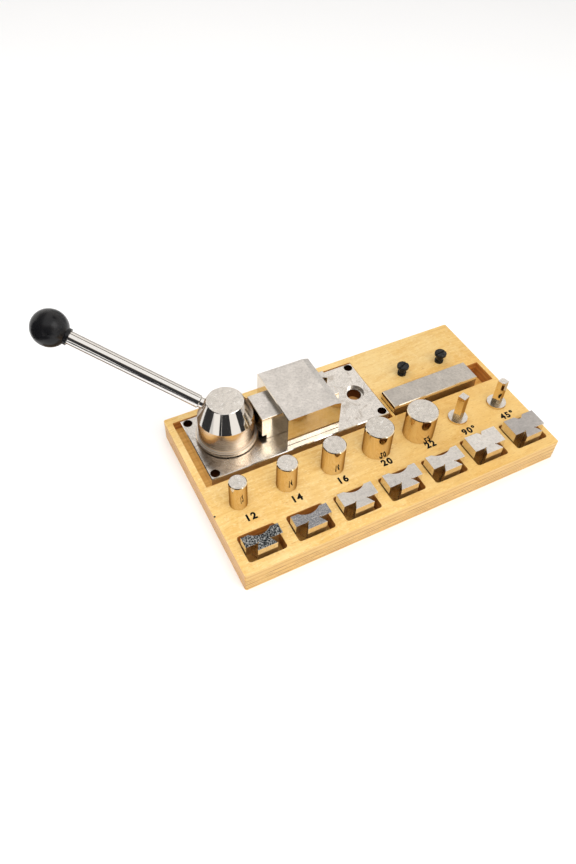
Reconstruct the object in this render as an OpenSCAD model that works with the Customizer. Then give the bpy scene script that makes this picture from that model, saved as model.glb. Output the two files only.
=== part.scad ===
// Jeweller's ring bending press, stored on its plywood board with a set of
// formers, bending dies and a loose steel block.
// Millimetres. +Z is up. The origin is the centre of the board's underside.
// X runs along the board, towards the former socket; Y runs towards its back.

/* [Board] */
// Length of the board along X
board_l = 244; // [240:1:270]
// Width of the board along Y
board_w = 139; // [136:1:160]
// Thickness of the board
board_t = 17; // [15:0.5:24]
// Depth of the pocket that the press stands in
recess_depth = 7.4; // [5:0.1:9]
// Depth of the pockets for the dies and the block
pocket_depth = 12; // [9:0.5:12]

/* [Press] */
// Length of the base plate
plate_l = 139; // [136:1:140]
// Width of the base plate
plate_w = 57; // [54:1:58]
// Thickness of the base plate
plate_t = 10; // [9:0.5:12]
// Distance of the plate's centre left of the board's centre
plate_left = 42.7; // [42.3:0.1:43.5]
// Distance of the press centreline behind the board's centre
plate_back = 32.7; // [32:0.1:33.5]
// Radius of the bolt-down holes in the corners of the plate
corner_hole_r = 3.3; // [2.5:0.1:3.5]
// Offset of the eccentric hub from its pivot
eccentricity = 6; // [5:0.1:6.5]
// Radius of the working cylinder of the hub
hub_r = 19.4; // [18:0.1:19.5]
// Width of the ram
ram_w = 24.2; // [22:0.1:26]
// Height of the ram
ram_h = 20.9; // [18:0.1:22]
// Diameter of the lever
lever_d = 9; // [7:0.1:10]
// Distance along the lever from the hub's axis to the centre of the ball
lever_reach = 126; // [100:0.5:140]
// Diameter of the ball knob
ball_d = 25; // [20:0.1:28]

/* [Formers and dies] */
// Diameters of the round formers
round_sizes = [12, 14, 16, 20, 22];
// Height of a former above the surface that it stands on
former_h = 22.75; // [18:0.25:26]
// Distance between neighbouring formers
former_pitch = 34.87; // [34:0.01:35]
// Distance between neighbouring dies
die_pitch = 34.5; // [34:0.1:35]
// Width of a die
die_w = 25.4; // [24:0.1:26]
// Height of a die
die_h = 20; // [18:0.5:20.5]

/* [Hidden] */
$fn = 64;

steel = "#c9c5c1";
bright_steel = "#dcdad8";
birch = "#e6b770";
black = "#1a1a1a";
bronze = "#b08d57";

eps = 0.01;
run_fit = 0.03;          // radial clearance of a running fit
slide_fit = 0.05;        // clearance of a sliding face
edge_c = 0.5;            // chamfer on machined edges
joint_c = 0.45;          // chamfer where two machined parts meet
cut = 1;                 // how far a cutting body runs past a surface

// Board
board_r = 1.5;
former_y = -18.5;
former_x0 = -3 * former_pitch + 1.4;
die_x0 = -102.4;
die_front_y = -62.2;      // front edge of the die pockets
pocket_w = 26.4;
pocket_r = 2;
short_pocket = 20.4;
long_pocket = 23.2;
peg_hole_r = 5.6;
peg_hole_depth = 11;
recess_l = 145.5;
recess_w = 62.6;
recess_x = -44.45;
recess_y = 32.85;
recess_r = 0.6;
block_slot_start = 30.3;
block_slot_end = 118.4;
block_slot_y = 11.7;
block_slot_w = 20.2;
block_slot_r = 0.5;
screw_hole_r = 2.7;
screw_hole_depth = 12;
screw_places = [[58.2, 36.4], [92.1, 35.6]];

// Press
plate_x = -plate_left;
plate_y = plate_back;
plate_z = board_t - recess_depth;
plate_top = plate_z + plate_t;
corner_x = 65.3;
corner_y = 24.5;
socket_x = 56.4;
socket_r = 5.4;
socket_rim_r = 7.4;
socket_rim_depth = 2.2;
pivot_x = -39.6;
journal_r = 8;
journal_l = 5.7;           // how far the journal reaches below the plate's top
bush_r = 10;
bush_h = 5.6;
washer_well_r = 13;
thrust_r = 14;
thrust_t = 0.8;

// Housing and ram, from the plate's centre
housing_x = 9;
housing_l = 40.4;
housing_w = 48.7;
housing_h = 26;
tunnel_w = ram_w + 2 * slide_fit;
tunnel_h = ram_h + 2 * slide_fit;
bevel_l = 4.8;
bevel_h = 1.3;
housing_bolt_x = 13.6;
housing_bolt_y = 18.3;
bolt_r = 2.5;
bolt_head_r = 4.3;
bolt_head_h = 4.8;
bolt_thread_l = 12;
dowel_r = 2;
ram_rear = -24.7;
ram_front = 34.7;
tail_step_l = 3.4;
tail_step_h = 4.15;
spring_bore_rear = -3.3;
spring_bore_front = 24.8;
spring_bore_w = 7;
spring_bore_h = 7.4;
spring_pin_r = 2.5;
spring_pin_x = spring_bore_front - spring_pin_r - 0.1;
spring_coils = 8;
spring_coil_r = 2.7;
spring_wire_r = 0.4;

// Dovetail shared by the ram and the dies
tail_neck = 8.2;
tail_wide = 13.7;
tail_depth = 4.9;
tail_play = 0.25;
relief_r = 0.45;

// Hub, from the pivot
hub_rest_angle = 146;
hub_offset = eccentricity * [cos(hub_rest_angle), sin(hub_rest_angle)];
hub_z = plate_top + thrust_t + slide_fit;
flange_r = 21.5;
flange_h = 2.2;
step_r = 20.4;
step_h = 3.2;
cone_z = 19.9;
cone_top_r = 12.6;
cone_top_z = 33.5;
lever_azimuth = 140;
lever_tilt = 24;
lever_cross_z = 19.7;
lever_socket_r = 3.6;
lever_start = 6;
lever_neck_end = 19.5;
ball_collar_r = 5.8;
ball_collar_l = 13.2;
insert_r = 5;
insert_end = 4;
lever_end = lever_reach - 1;

// Dies: thickness of the head and radius of the bending notch
die_heads = [7.8, 8, 10.3, 10.5, 10.8, 13.6, 13.9];
notch_radii = [10.5, 11, 11, 11, 11.5];
notch_depth = 3;
vee_depths = [2.2, 2.6];  // of the 90 and 45 degree dies
vee_roots = [0, 1.1];     // half width of the flat at the root
head_front_y = -55.8;
die_z = board_t - pocket_depth;

// Formers
spigot_r = 5.3;
spigot_l = 9.5;
collar_r = 7;
collar_h = 1.8;
bar_side = 5.5;
bar_flat = 1.5;
bar_shift = -1.2;          // the bar formers stand a little left of the row and in front

// Block and shoulder screws
block_l = 73.2;
block_w = 17.3;
block_h = 18.5;
block_x = 67.2;
block_y = 13;
screw_head_r = 4.55;
screw_head_h = 2;
screw_flange_r = 3.35;
screw_flange_h = 2;
shoulder_r = 2.7;
shoulder_h = 7;
screw_slots = [23, 5];
screw_thread_r = 2.5;
screw_thread_l = 10;

// ---------------------------------------------------------------- helpers

// Rectangle with round corners, centred.
module round_rect(l, w, r) {
    square([l - 2 * r, w], center = true);
    square([l, w - 2 * r], center = true);
    for (sx = [-1, 1], sy = [-1, 1])
        translate([sx * (l / 2 - r), sy * (w / 2 - r)]) circle(r);
}

// Profile of a block with its upper corners chamfered.
module chamfered_profile(l, h, c) {
    polygon([[-l / 2, 0], [l / 2, 0], [l / 2, h - c], [l / 2 - c, h],
        [-l / 2 + c, h], [-l / 2, h - c]]);
}

// Block with its upper edges chamfered, standing on z = 0.
module chamfered_block(l, w, h, c) {
    intersection() {
        rotate([90, 0, 0]) linear_extrude(w, center = true) chamfered_profile(l, h, c);
        rotate([90, 0, 90]) linear_extrude(l, center = true) chamfered_profile(w, h, c);
    }
}

// Cuts the lower long edges of a block of width w, standing on z = 0.
module lower_edges(l, w, c) {
    for (s = [-1, 1]) translate([0, s * w / 2, 0]) rotate([45, 0, 0])
        cube([l, c * sqrt(2), c * sqrt(2)], center = true);
}

// Rod with a chamfer at its upper end, standing on z = 0.
module chamfered_rod(r, h, c) {
    rotate_extrude() polygon([[0, 0], [r, 0], [r, h - c], [r - c, h], [0, h]]);
}

// Places its children in the press: the plate's centre, z = 0 on the plate.
module on_plate() {
    translate([plate_x, plate_y, plate_top]) children();
}

// Places its children at the pivot of the hub, z = 0 on the plate.
module at_pivot() {
    on_plate() translate([pivot_x, 0, 0]) children();
}

// Places its children on the hub's own axis, z = 0 at the hub's underside.
module at_hub() {
    at_pivot() translate([hub_offset[0], hub_offset[1], hub_z - plate_top]) children();
}

// Places its children along the lever: +Z runs out along it.
module along_lever() {
    at_hub() translate([0, 0, lever_cross_z])
        rotate([0, 90 - lever_tilt, lever_azimuth]) children();
}

function die_x(i) = die_x0 + i * die_pitch;
function former_shift(i) = i < len(round_sizes) ? 0 : bar_shift;
function former_x(i) = former_x0 + i * former_pitch + former_shift(i);
function pocket_l(i) = i < len(round_sizes) ? short_pocket : long_pocket;

// Places its children at a former's hole, z = 0 on the board.
module at_former(i) {
    translate([former_x(i), former_y + former_shift(i), board_t]) children();
}

// ------------------------------------------------------------------ board

module wooden_board() {
    color(birch) difference() {
        linear_extrude(board_t) round_rect(board_l, board_w, board_r);
        translate([recess_x, recess_y, plate_z])
            linear_extrude(board_t) round_rect(recess_l, recess_w, recess_r);
        block_slot();
        for (i = [0:6]) {
            die_pocket(i);
            at_former(i) translate([0, 0, -peg_hole_depth])
                cylinder(r = peg_hole_r, h = peg_hole_depth + cut);
        }
        for (p = screw_places)
            translate([p[0], p[1], board_t - screw_hole_depth])
                cylinder(r = screw_hole_r, h = screw_hole_depth + cut);
    }
}

// Slot for the steel block; a thin strip of wood parts it from the press.
module block_slot() {
    slot_l = block_slot_end - block_slot_start;
    translate([block_slot_start + slot_l / 2, block_slot_y, board_t - pocket_depth])
        linear_extrude(board_t) round_rect(slot_l, block_slot_w, block_slot_r);
}

module die_pocket(i) {
    translate([die_x(i), die_front_y + pocket_l(i) / 2, board_t - pocket_depth])
        linear_extrude(board_t) round_rect(pocket_w, pocket_l(i), pocket_r);
}

// ------------------------------------------------------- base of the press

module base_plate() {
    color(bright_steel) on_plate() translate([0, 0, -plate_t]) difference() {
        chamfered_block(plate_l, plate_w, plate_t, edge_c);
        for (sx = [-1, 1], sy = [-1, 1])
            translate([sx * corner_x, sy * corner_y, -cut])
                cylinder(r = corner_hole_r, h = plate_t + 2 * cut);
        translate([socket_x, 0, -cut]) cylinder(r = socket_r, h = plate_t + 2 * cut);
        translate([socket_x, 0, plate_t - socket_rim_depth])
            cylinder(r = socket_rim_r, h = plate_t);
        translate([pivot_x, 0, -cut]) cylinder(r = bush_r, h = plate_t + 2 * cut);
        translate([pivot_x, 0, -cut])
            cylinder(r = washer_well_r, h = plate_t - bush_h + cut);
        housing_bolt_places() {
            translate([0, 0, -cut]) cylinder(r = bolt_r + 0.2, h = plate_t + 2 * cut);
            translate([0, 0, -cut]) cylinder(r = bolt_head_r + 0.2, h = bolt_head_h + 0.4 + cut);
        }
        dowel_places() translate([0, 0, plate_t - 6]) cylinder(r = dowel_r + eps, h = plate_t);
        translate([spring_pin_x, 0, plate_t - 6]) cylinder(r = spring_pin_r + eps, h = plate_t);
    }
}

module housing_bolt_places() {
    for (sx = [-1, 1], sy = [-1, 1])
        translate([housing_x + sx * housing_bolt_x, sy * housing_bolt_y, 0]) children();
}

module dowel_places() {
    for (s = [-1, 1]) translate([housing_x - s * 6, s * housing_bolt_y, 0]) children();
}

module guide_housing() {
    color(bright_steel) on_plate() translate([housing_x, 0, 0]) difference() {
        rotate([90, 0, 0]) linear_extrude(housing_w, center = true) housing_profile();
        translate([-housing_l, -tunnel_w / 2, -cut]) cube([2 * housing_l, tunnel_w, tunnel_h + cut]);
        lower_edges(2 * housing_l, housing_w, joint_c);
        translate([-housing_x, 0, 0]) {
            housing_bolt_places() translate([0, 0, -cut])
                cylinder(r = bolt_r + eps, h = bolt_thread_l + cut);
            dowel_places() translate([0, 0, -cut]) cylinder(r = dowel_r + eps, h = 7 + cut);
        }
    }
}

// Side view of the housing: a block with a shallow bevel towards the socket.
module housing_profile() {
    l = housing_l / 2;
    polygon([[-l, 0], [l, 0], [l, housing_h - bevel_h], [l - bevel_l, housing_h],
        [edge_c - l, housing_h], [-l, housing_h - edge_c]]);
}

module housing_screws() {
    color(black) on_plate() housing_bolt_places() translate([0, 0, -plate_t + 0.3])
        rotate_extrude() polygon([[1.9, 0], [bolt_head_r, 0], [bolt_head_r, bolt_head_h],
            [bolt_r, bolt_head_h], [bolt_r, plate_t + bolt_thread_l - 1.5],
            [0, plate_t + bolt_thread_l - 1.5], [0, 2.5], [1.9, 2.5]]);
}

module dowel_pins() {
    color(steel) on_plate() dowel_places() translate([0, 0, -5.8])
        chamfered_rod(dowel_r, 12.6, 0.4);
}

module pivot_bush() {
    color(bronze) at_pivot() translate([0, 0, -bush_h]) difference() {
        cylinder(r = bush_r - eps, h = bush_h);
        translate([0, 0, -cut]) cylinder(r = journal_r + run_fit, h = bush_h + 2 * cut);
    }
}

module thrust_washer() {
    color(bronze) at_pivot() difference() {
        cylinder(r = thrust_r, h = thrust_t);
        translate([0, 0, -cut]) cylinder(r = journal_r + 0.2, h = thrust_t + 2 * cut);
    }
}

module spring_pin() {
    color(steel) on_plate() translate([spring_pin_x, 0, -5.8])
        chamfered_rod(spring_pin_r, 12.4, 0.4);
}

// ------------------------------------------------------------------- hub

// The journal turns about the pivot; the hub's body stands off centre on it.
module eccentric_hub() {
    color(bright_steel) {
        difference() {
            at_hub() rotate_extrude($fn = 128) hub_profile();
            along_lever() cylinder(r = lever_socket_r + eps, h = lever_reach);
            along_lever() cylinder(r = lever_socket_r + eps, h = lever_start, center = true);
        }
        difference() {
            at_pivot() translate([0, 0, -journal_l]) cylinder(r = journal_r, h = journal_l + 1.85);
            at_pivot() translate([0, 0, -journal_l - cut]) cylinder(r = bolt_r + eps, h = 5 + cut);
        }
    }
}

module hub_profile() {
    polygon([[0, 0], [flange_r - 0.3, 0], [flange_r, 0.3], [flange_r, flange_h - 0.5],
        [flange_r - 0.5, flange_h], [step_r, flange_h], [step_r, step_h], [hub_r, step_h],
        [hub_r, cone_z], [cone_top_r, cone_top_z], [cone_top_r - 0.4, cone_top_z + 0.3],
        [0, cone_top_z + 0.3]]);
}

module retaining_washer() {
    color(steel) at_pivot() translate([0, 0, -bush_h - 1.8]) difference() {
        cylinder(r = 12, h = 1.6);
        translate([0, 0, -cut]) cylinder(r = bolt_r + 0.1, h = 1.6 + 2 * cut);
    }
}

module retaining_screw() {
    color(black) at_pivot() translate([0, 0, -bush_h - 4.2])
        rotate_extrude() polygon([[0, 1.2], [1.5, 1.2], [1.5, 0], [3.9, 0], [4.7, 0.9],
            [4.7, 2.4], [bolt_r, 2.4], [bolt_r, 8.4], [0, 8.4]]);
}

module lever_rod() {
    color(bright_steel) along_lever() translate([0, 0, lever_start / 2])
        rotate_extrude() lever_profile();
}

// The rod has a thinner root in the hub and a threaded end in the ball.
module lever_profile() {
    root_end = lever_neck_end - lever_start / 2;
    thread_start = lever_reach - ball_collar_l - lever_start / 2;
    end = lever_end - lever_start / 2;
    rod_r = lever_d / 2;
    polygon([[0, 0], [lever_socket_r, 0], [lever_socket_r, root_end],
        [rod_r - 0.4, root_end], [rod_r, root_end + 0.6], [rod_r, thread_start],
        [3, thread_start], [3, end], [0, end]]);
}

module ball_knob() {
    color(black) along_lever() translate([0, 0, lever_reach]) difference() {
        rotate_extrude($fn = 96) ball_profile();
        translate([0, 0, -ball_d]) cylinder(r = insert_r + eps, h = ball_d + insert_end);
    }
}

// Ball with a flat collar where the lever enters it.
module ball_profile() {
    difference() {
        union() {
            circle(ball_d / 2);
            translate([0, -ball_collar_l]) square([ball_collar_r, ball_collar_l]);
        }
        translate([-ball_d, -ball_d]) square([ball_d, 2 * ball_d]);
    }
}

module knob_insert() {
    color("#c9a24a") along_lever() translate([0, 0, lever_reach - ball_collar_l + 0.2])
        difference() {
            cylinder(r = insert_r, h = ball_collar_l + insert_end - 0.3);
            translate([0, 0, -cut]) cylinder(r = 3 + eps, h = ball_collar_l + cut);
        }
}

// ------------------------------------------------------------------- ram

module ram() {
    color(bright_steel) on_plate() translate([0, 0, slide_fit]) difference() {
        translate([(ram_rear + ram_front) / 2, 0, 0])
            difference() {
                chamfered_block(ram_front - ram_rear, ram_w, ram_h, 0.3);
                lower_edges(2 * ram_front - 2 * ram_rear, ram_w, joint_c);
            }
        translate([ram_rear - cut, -ram_w, -cut])
            cube([tail_step_l + cut, 2 * ram_w, tail_step_h + cut]);
        translate([ram_front, 0, -cut]) linear_extrude(ram_h + 2 * cut) tail_slot();
        translate([spring_bore_rear, -spring_bore_w / 2, -cut])
            cube([spring_bore_front - spring_bore_rear, spring_bore_w, spring_bore_h + cut]);
    }
}

// Dovetail slot, open at x = 0 and wider inside the ram.
module tail_slot() {
    neck = tail_neck / 2 + tail_play;
    wide = tail_wide / 2 + tail_play;
    depth = tail_depth + tail_play;
    polygon([[cut, -neck], [0, -neck], [-depth, -wide], [-depth, wide], [0, neck], [cut, neck]]);
}

// Helical compression spring between the pin and the rear end of the bore.
module return_spring() {
    length = spring_pin_x - spring_pin_r - spring_bore_rear - 2 * spring_wire_r - 0.2;
    color(steel) on_plate()
        translate([spring_bore_rear + spring_wire_r + 0.1, 0, spring_bore_h / 2 + slide_fit])
            rotate([0, 90, 0]) helix(spring_coil_r, length, spring_coils, spring_wire_r);
}

// Wire of radius w wound at radius r, rising by h in a number of turns.
module helix(r, h, turns, w) {
    sides = 8;
    steps = 20 * turns;
    rings = [for (i = [0:steps], k = [0:sides - 1])
        let (a = 360 * turns * i / steps, b = 360 * k / sides, d = r + w * cos(b))
            [d * cos(a), d * sin(a), h * i / steps + w * sin(b)]];
    walls = [for (i = [0:steps - 1], k = [0:sides - 1])
        let (n = (k + 1) % sides)
            [i * sides + k, i * sides + n, (i + 1) * sides + n, (i + 1) * sides + k]];
    first = [for (k = [sides - 1:-1:0]) k];
    last = [for (k = [0:sides - 1]) steps * sides + k];
    polyhedron(points = rings, faces = concat([first], walls, [last]));
}

// ------------------------------------------------------------------ dies

// Outline of a die: head with its back edge towards +Y, dovetail towards -Y.
module die_outline(head) {
    neck = tail_neck / 2;
    wide = tail_wide / 2;
    difference() {
        polygon([[-die_w / 2, 0], [-neck, 0], [-wide, -tail_depth], [wide, -tail_depth],
            [neck, 0], [die_w / 2, 0], [die_w / 2, head], [-die_w / 2, head]]);
        for (s = [-1, 1]) translate([s * (neck + 0.1), 0.1]) circle(relief_r);
    }
}

module die(i) {
    color(steel) translate([die_x(i), head_front_y, die_z]) linear_extrude(die_h)
        difference() {
            die_outline(die_heads[i]);
            if (i < len(round_sizes))
                translate([0, die_heads[i] - notch_depth + notch_radii[i]])
                    circle(notch_radii[i], $fn = 96);
            else
                vee(die_heads[i], vee_depths[i - 5], vee_roots[i - 5]);
        }
}

// Notch with 45 degree flanks in the back edge of a die, flat or relieved at its root.
module vee(head, depth, root) {
    half = root + depth + eps;
    polygon([[-half, head + eps], [-root, head - depth], [root, head - depth], [half, head + eps]]);
    if (root == 0) translate([0, head - depth]) circle(relief_r);
}

module die_12() { die(0); }
module die_14() { die(1); }
module die_16() { die(2); }
module die_20() { die(3); }
module die_22() { die(4); }
module die_90_deg() { die(5); }
module die_45_deg() { die(6); }

// --------------------------------------------------------------- formers

module spigot() {
    translate([0, 0, -spigot_l]) cylinder(r = spigot_r, h = spigot_l + eps);
}

module round_former(i) {
    color(bright_steel) at_former(i) {
        chamfered_rod(round_sizes[i] / 2, former_h, edge_c);
        spigot();
    }
}

// Former with a round collar and an upright bar whose section is a child.
module bar_former(i) {
    color(bright_steel) at_former(i) {
        cylinder(r = collar_r, h = collar_h);
        linear_extrude(former_h) children();
        spigot();
    }
}

module former_12() { round_former(0); }
module former_14() { round_former(1); }
module former_16() { round_former(2); }
module former_20() { round_former(3); }
module former_22() { round_former(4); }

// Square bar: its corner bends a right angle.
module former_90_deg() {
    bar_former(5) rotate(19) square(bar_side, center = true);
}

// Square bar with a flat on one corner, which makes two 45 degree bends.
module former_45_deg() {
    b = bar_side / 2;
    bar_former(6) rotate(14)
        polygon([[bar_flat - b, -b], [b, -b], [b, b], [-b, b], [-b, bar_flat - b]]);
}

// ----------------------------------------------------- block and screws

module steel_block() {
    color(bright_steel) translate([block_x, block_y, board_t - pocket_depth])
        chamfered_block(block_l, block_w, block_h, edge_c);
}

// Slotted shoulder screw, standing on its shoulder in a hole of the board.
module shoulder_screw(i) {
    top = shoulder_h + screw_head_h;
    color(black) translate([screw_places[i][0], screw_places[i][1], board_t]) difference() {
        rotate_extrude() polygon([[0, -screw_thread_l], [screw_thread_r - 0.5, -screw_thread_l],
            [screw_thread_r, 0.5 - screw_thread_l], [screw_thread_r, 0], [screw_flange_r, 0],
            [screw_flange_r, screw_flange_h], [shoulder_r, screw_flange_h],
            [shoulder_r, shoulder_h], [screw_head_r, shoulder_h],
            [screw_head_r, top - 0.4], [screw_head_r - 0.4, top], [0, top]]);
        rotate(screw_slots[i]) translate([-screw_head_r - cut, -0.5, top - 1.1])
            cube([2 * (screw_head_r + cut), 1, 1.1 + cut]);
    }
}

module left_shoulder_screw() { shoulder_screw(0); }
module right_shoulder_screw() { shoulder_screw(1); }

// ------------------------------------------------------------- assembly

wooden_board();
base_plate();
guide_housing();
housing_screws();
dowel_pins();
pivot_bush();
thrust_washer();
spring_pin();
return_spring();
eccentric_hub();
retaining_washer();
retaining_screw();
lever_rod();
ball_knob();
knob_insert();
ram();
die_12();
die_14();
die_16();
die_20();
die_22();
die_90_deg();
die_45_deg();
former_12();
former_14();
former_16();
former_20();
former_22();
former_90_deg();
former_45_deg();
steel_block();
left_shoulder_screw();
right_shoulder_screw();
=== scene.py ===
"""Looks of a ring bending press on its plywood board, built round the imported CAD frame.

Lengths are in metres unless a name ends in _mm or _MM, and angles are in degrees. The frame's
origin is the centre of the board's underside, +X runs along the board and +Z is up. Inside a
material, places and sizes are in millimetres.
"""

import math

import bpy
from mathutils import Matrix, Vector


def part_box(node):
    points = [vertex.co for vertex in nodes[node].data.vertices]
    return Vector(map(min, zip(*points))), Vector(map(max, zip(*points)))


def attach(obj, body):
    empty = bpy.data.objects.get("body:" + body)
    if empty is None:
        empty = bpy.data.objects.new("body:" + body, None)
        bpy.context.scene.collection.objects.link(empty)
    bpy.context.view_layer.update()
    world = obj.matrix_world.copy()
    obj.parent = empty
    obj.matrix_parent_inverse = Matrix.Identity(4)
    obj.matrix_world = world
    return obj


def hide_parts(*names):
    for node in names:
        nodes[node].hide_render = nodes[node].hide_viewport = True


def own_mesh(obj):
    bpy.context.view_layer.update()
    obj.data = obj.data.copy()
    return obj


MM = 0.001

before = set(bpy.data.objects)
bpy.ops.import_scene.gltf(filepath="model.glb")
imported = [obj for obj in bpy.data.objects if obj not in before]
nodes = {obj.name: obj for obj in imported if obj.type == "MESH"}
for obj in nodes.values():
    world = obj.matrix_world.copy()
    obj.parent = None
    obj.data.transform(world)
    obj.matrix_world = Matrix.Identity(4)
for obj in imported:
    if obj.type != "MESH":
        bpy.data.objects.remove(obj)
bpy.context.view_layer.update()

board_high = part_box("wooden_board")[1]
plate_low, plate_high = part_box("base_plate")
plate_mid = (plate_low + plate_high) / 2
hub_low, hub_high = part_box("eccentric_hub")
hub_axis = (hub_low + hub_high) / 2

# The hub's cone ends this far below its top.
HUB_CONE_MM = 13.9
hub_cone_z = hub_high.z - HUB_CONE_MM * MM
# Holes of the base plate, from its centre. Each radius reaches just past the hole's wall.
CORNER_HOLE_MM = (65.3, 24.5)
CORNER_HOLE_RADIUS_MM = 3.6
SOCKET_X_MM = 56.4
SOCKET_RADIUS_MM = 5.8
# The lever crosses the hub's axis this far above the plate, and rises from there.
LEVER_CROSS_MM = 19.7
LEVER_AZIMUTH = 140
LEVER_RISE = 24
LEVER_RADIUS_MM = 4.5
SIZES = ("12", "14", "16", "20", "22", "90_deg", "45_deg")


# ---------------------------------------------------------------- node helper


class Look:
    """A material being built. Each method adds nodes and returns a result socket."""

    def __init__(self, name):
        self.material = bpy.data.materials.new(name)
        self.material.use_nodes = True
        self.nodes = self.material.node_tree.nodes
        self.links = self.material.node_tree.links
        self.nodes.clear()
        self.shader = self.nodes.new("ShaderNodeBsdfPrincipled")
        output = self.nodes.new("ShaderNodeOutputMaterial")
        self.links.new(self.shader.outputs[0], output.inputs["Surface"])
        coords = self.nodes.new("ShaderNodeTexCoord")
        self.normal = coords.outputs["Normal"]
        self.place = self.vector("SCALE", coords.outputs["Object"], factor=1 / MM)
        self.bumped = None

    def plug(self, socket, value):
        """Links a result socket, or sets a number, a colour or a vector."""
        if isinstance(value, bpy.types.NodeSocket):
            self.links.new(value, socket)
        elif socket.type == "RGBA" and len(value) == 3:
            socket.default_value = (*value, 1)
        else:
            socket.default_value = value

    def set(self, **values):
        """Sets inputs of the shader; Base_Color means "Base Color"."""
        for name, value in values.items():
            self.plug(self.shader.inputs[name.replace("_", " ")], value)

    def vector(self, operation, a, b=(0, 0, 0), factor=1):
        node = self.nodes.new("ShaderNodeVectorMath")
        node.operation = operation
        self.plug(node.inputs[0], a)
        if operation == "SCALE":
            self.plug(node.inputs["Scale"], factor)
        elif operation != "LENGTH":
            self.plug(node.inputs[1], b)
        return node.outputs["Value" if operation in ("LENGTH", "DOT_PRODUCT") else "Vector"]

    def axis(self, vector, name):
        """The X, Y or Z of a vector."""
        node = self.nodes.new("ShaderNodeSeparateXYZ")
        self.plug(node.inputs[0], vector)
        return node.outputs[name]

    def join(self, x, y, z):
        """A vector from three numbers."""
        node = self.nodes.new("ShaderNodeCombineXYZ")
        for socket, value in zip(node.inputs, (x, y, z)):
            self.plug(socket, value)
        return node.outputs[0]

    def calc(self, operation, a, b=0.0):
        node = self.nodes.new("ShaderNodeMath")
        node.operation = operation
        self.plug(node.inputs[0], a)
        self.plug(node.inputs[1], b)
        return node.outputs[0]

    def times(self, a, b):
        return self.calc("MULTIPLY", a, b)

    def fit(self, value, low, high, to_low, to_high):
        """Maps low..high to to_low..to_high, smoothly and clamped."""
        node = self.nodes.new("ShaderNodeMapRange")
        node.interpolation_type = "SMOOTHSTEP"
        self.plug(node.inputs["Value"], value)
        numbers = {"From Min": low, "From Max": high, "To Min": to_low, "To Max": to_high}
        for name, number in numbers.items():
            self.plug(node.inputs[name], number)
        return node.outputs["Result"]

    def above(self, value, level, soft):
        """0 below the level and 1 above it, with a soft step between."""
        return self.fit(value, level - soft, level + soft, 0, 1)

    def below(self, value, level, soft):
        """1 below the level and 0 above it, with a soft step between."""
        return self.fit(value, level - soft, level + soft, 1, 0)

    def mix(self, share, a, b, how="MIX"):
        """Mixes two colours."""
        node = self.nodes.new("ShaderNodeMix")
        node.data_type = "RGBA"
        node.blend_type = how
        self.plug(node.inputs[0], share)
        self.plug(node.inputs[6], a)
        self.plug(node.inputs[7], b)
        return node.outputs[2]

    def between(self, share, a, b):
        """Mixes two numbers."""
        node = self.nodes.new("ShaderNodeMix")
        self.plug(node.inputs[0], share)
        self.plug(node.inputs[2], a)
        self.plug(node.inputs[3], b)
        return node.outputs[0]

    def noise(self, per_mm, detail=3, rough=0.5, stretch=(1, 1, 1), at=None, warp=0.0):
        """Noise with per_mm grains in a millimetre; stretch below 1 lengthens them."""
        node = self.nodes.new("ShaderNodeTexNoise")
        where = self.vector("MULTIPLY", self.place if at is None else at, stretch)
        self.plug(node.inputs["Vector"], where)
        self.plug(node.inputs["Scale"], per_mm)
        self.plug(node.inputs["Detail"], detail)
        self.plug(node.inputs["Roughness"], rough)
        self.plug(node.inputs["Distortion"], warp)
        return node.outputs["Fac"]

    def cells(self, per_mm):
        """Distance to the nearest of scattered points."""
        node = self.nodes.new("ShaderNodeTexVoronoi")
        self.plug(node.inputs["Vector"], self.place)
        self.plug(node.inputs["Scale"], per_mm)
        return node.outputs["Distance"]

    def turned(self, angle):
        """Place, turned about Z by an angle."""
        node = self.nodes.new("ShaderNodeVectorRotate")
        node.rotation_type = "Z_AXIS"
        self.plug(node.inputs["Vector"], self.place)
        self.plug(node.inputs["Angle"], math.radians(angle))
        return node.outputs[0]

    def bump(self, height, depth_mm, strength=1.0):
        """Adds a height pattern, depth_mm deep, to the surface normal."""
        node = self.nodes.new("ShaderNodeBump")
        self.plug(node.inputs["Height"], height)
        node.inputs["Distance"].default_value = depth_mm * MM
        self.plug(node.inputs["Strength"], strength)
        if self.bumped is not None:
            self.links.new(self.bumped, node.inputs["Normal"])
        self.bumped = node.outputs[0]
        self.plug(self.shader.inputs["Normal"], self.bumped)


def scaled(tint, factor):
    """A lighter or darker tint."""
    return tuple(min(1, c * factor) for c in tint)


def place_object(name, data):
    """Puts a mesh, a text, a camera or a light in the scene."""
    item = bpy.data.objects.new(name, data)
    bpy.context.scene.collection.objects.link(item)
    return item


# ----------------------------------------------------------------------- wood

BIRCH = (0.81, 0.54, 0.19)
BIRCH_DEEP = (0.68, 0.385, 0.09)
BIRCH_PALE = (0.86, 0.655, 0.32)
PORE = (0.52, 0.235, 0.045)
FLECK = (0.90, 0.72, 0.40)
DIRT = (0.30, 0.13, 0.04)
# What the face is multiplied by towards the right: nearer the front, and nearer the back.
GOLDEN_FRONT = (0.86, 0.77, 0.58)
GOLDEN_BACK = (0.86, 0.84, 0.78)
# Thickness of one ply.
PLY_MM = 2.1
PLY_RED = (0.58, 0.29, 0.065)
PLY_STREAK = (0.50, 0.20, 0.04)
GLUE = (0.24, 0.075, 0.012)
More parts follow.
